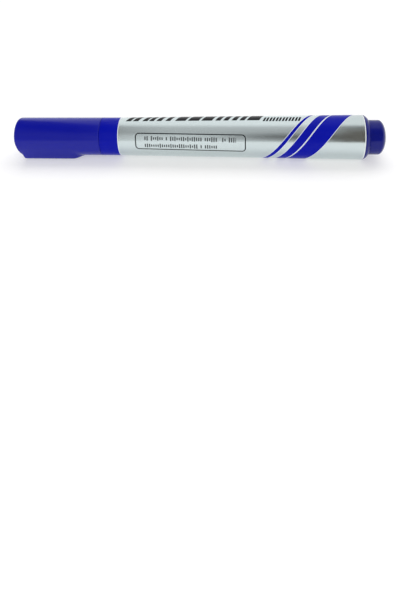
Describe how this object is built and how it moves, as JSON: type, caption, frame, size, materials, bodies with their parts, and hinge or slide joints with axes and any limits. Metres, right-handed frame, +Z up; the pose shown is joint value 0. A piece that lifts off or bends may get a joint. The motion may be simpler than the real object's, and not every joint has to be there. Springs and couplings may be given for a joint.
{
  "type": "whiteboard marker",
  "caption": "Whiteboard marker with a bullet nib, a tapered printed barrel, a push-on cap with an anti-roll keel, and a domed rear plug that the cap can be posted on.",
  "frame": {"origin": "on the surface that the marker lies on, under the middle of its length", "axes": "+X along the marker from the cap to the rear plug, +Z up; the cap's keel points down and towards -Y"},
  "size_m": [0.1388, 0.0166, 0.0166],
  "materials": {
    "cap_plastic": "glossy moulded polypropylene, dark blue",
    "seal_plastic": "soft natural polyethylene",
    "nib_felt": "bonded polyester fibre soaked with dark blue ink",
    "holder_plastic": "white moulded polypropylene",
    "barrel_plastic": "light grey moulded polypropylene",
    "printed_film": null,
    "reservoir_fibre": "polyester fibre bundle soaked with ink",
    "reservoir_film": "thin clear film",
    "plug_plastic": "glossy moulded polypropylene, dark blue"
  },
  "bodies": {
    "marker": {"barrel_tube": "barrel_plastic", "label_sleeve": "printed_film", "nib_holder": "holder_plastic", "nib": "nib_felt", "ink_reservoir": "reservoir_fibre", "reservoir_film": "reservoir_film", "rear_plug": "plug_plastic"},
    "cap_seal": {"cap_inner_seal": "seal_plastic"},
    "cap": {"cap_shell": "cap_plastic"}
  },
  "joints": [
    {"name": "cap_pull", "type": "slide", "parent": "marker", "child": "cap_seal", "axis": [-1, 0, 0], "range_m": [0, 0.045]},
    {"name": "cap_twist", "type": "hinge", "parent": "cap_seal", "child": "cap", "pos_m": [-0.05, 0, 0.0083], "axis": [-1, 0, 0], "continuous": true}
  ]
}
